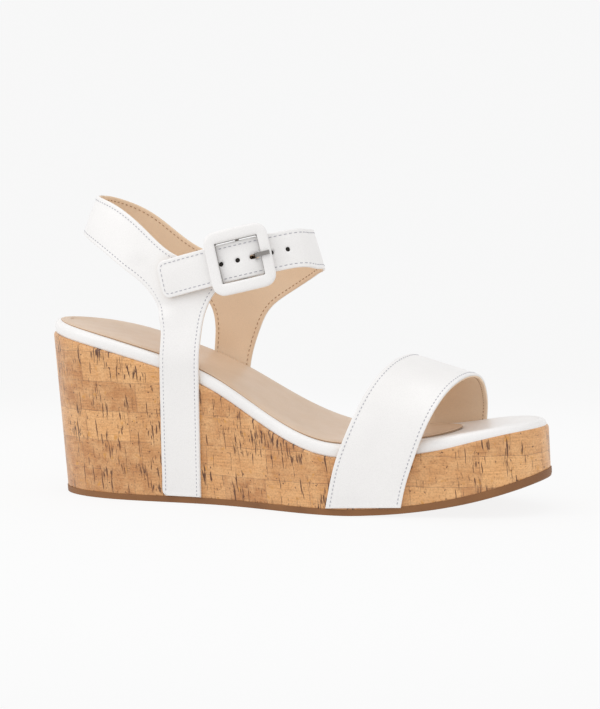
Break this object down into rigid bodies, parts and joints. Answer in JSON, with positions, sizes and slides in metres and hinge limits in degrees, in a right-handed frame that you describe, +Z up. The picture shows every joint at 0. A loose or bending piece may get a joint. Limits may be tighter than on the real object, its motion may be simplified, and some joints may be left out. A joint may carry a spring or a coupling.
{
  "type": "wedge sandal",
  "caption": "Right-foot wedge sandal with cork-wrapped heel, white leather toe strap and buckled ankle strap; strap, prong, buckle and strap tail move.",
  "frame": {"origin": "centre of the bounding box on the ground under the outsole", "axes": "+X from heel to toe, +Z up, the lateral side with the buckle faces -Y"},
  "size_m": [0.2488, 0.0892, 0.1462],
  "materials": {
    "white_leather": "smooth white nappa, satin",
    "tan_lining": "tan goat lining leather",
    "sock_leather": "pale tan sock leather",
    "cork": "varnished cork sheet laid in blocks",
    "core": "moulded wedge",
    "outsole_rubber": "tan rubber, matt",
    "board": "cellulose insole board",
    "foam": "latex foam",
    "tape": "woven reinforcing tape",
    "steel": "spring steel",
    "nail_steel": "steel nails",
    "chrome": "polished chrome"
  },
  "bodies": {
    "root": {"outsole": "outsole_rubber", "wedge_core": "core", "cork_wrap": "cork", "steel_shank": "steel", "heel_nails": "nail_steel", "insole_board": "board", "footbed_padding": "foam", "footbed_cover": "white_leather", "sock_lining": "sock_leather", "toe_strap_outer": "white_leather", "toe_strap_tape": "tape", "toe_strap_lining": "tan_lining", "lateral_quarter_outer": "white_leather", "lateral_quarter_lining": "tan_lining", "medial_quarter_outer": "white_leather", "medial_quarter_lining": "tan_lining", "buckle_tab": "white_leather"},
    "buckle": {"buckle_frame": "steel", "buckle_cover": "white_leather", "buckle_bar": "chrome"},
    "prong": {"buckle_prong": "chrome"},
    "strap_end": {"strap_end_outer": "white_leather", "strap_end_lining": "tan_lining"},
    "strap_tail": {"strap_tail_outer": "white_leather", "strap_tail_lining": "tan_lining"}
  },
  "joints": [
    {"name": "buckle_tilt", "type": "hinge", "parent": "root", "child": "buckle", "pos_m": [-0.0191, -0.02237, 0.1154], "axis": [0.2574, -0.0943, -0.9617], "range_deg": [-2, 2]},
    {"name": "prong_swing", "type": "hinge", "parent": "buckle", "child": "prong", "pos_m": [-0.0191, -0.02237, 0.1154], "axis": [0.2574, -0.0943, -0.9617], "range_deg": [0, 40.01]},
    {"name": "strap_pull", "type": "hinge", "parent": "root", "child": "strap_end", "pos_m": [-0.03918, 0.07629, 0.10035], "axis": [0.2574, -0.0943, -0.9617], "range_deg": [0, 2.18]},
    {"name": "tail_lift", "type": "hinge", "parent": "strap_end", "child": "strap_tail", "pos_m": [-0.03491, -0.02896, 0.11181], "axis": [-0.2574, 0.0943, 0.9617], "range_deg": [0, 60]}
  ],
  "couplings": [
    {"joint": "prong_swing", "follows": "strap_pull", "ratio": 18.326}
  ]
}
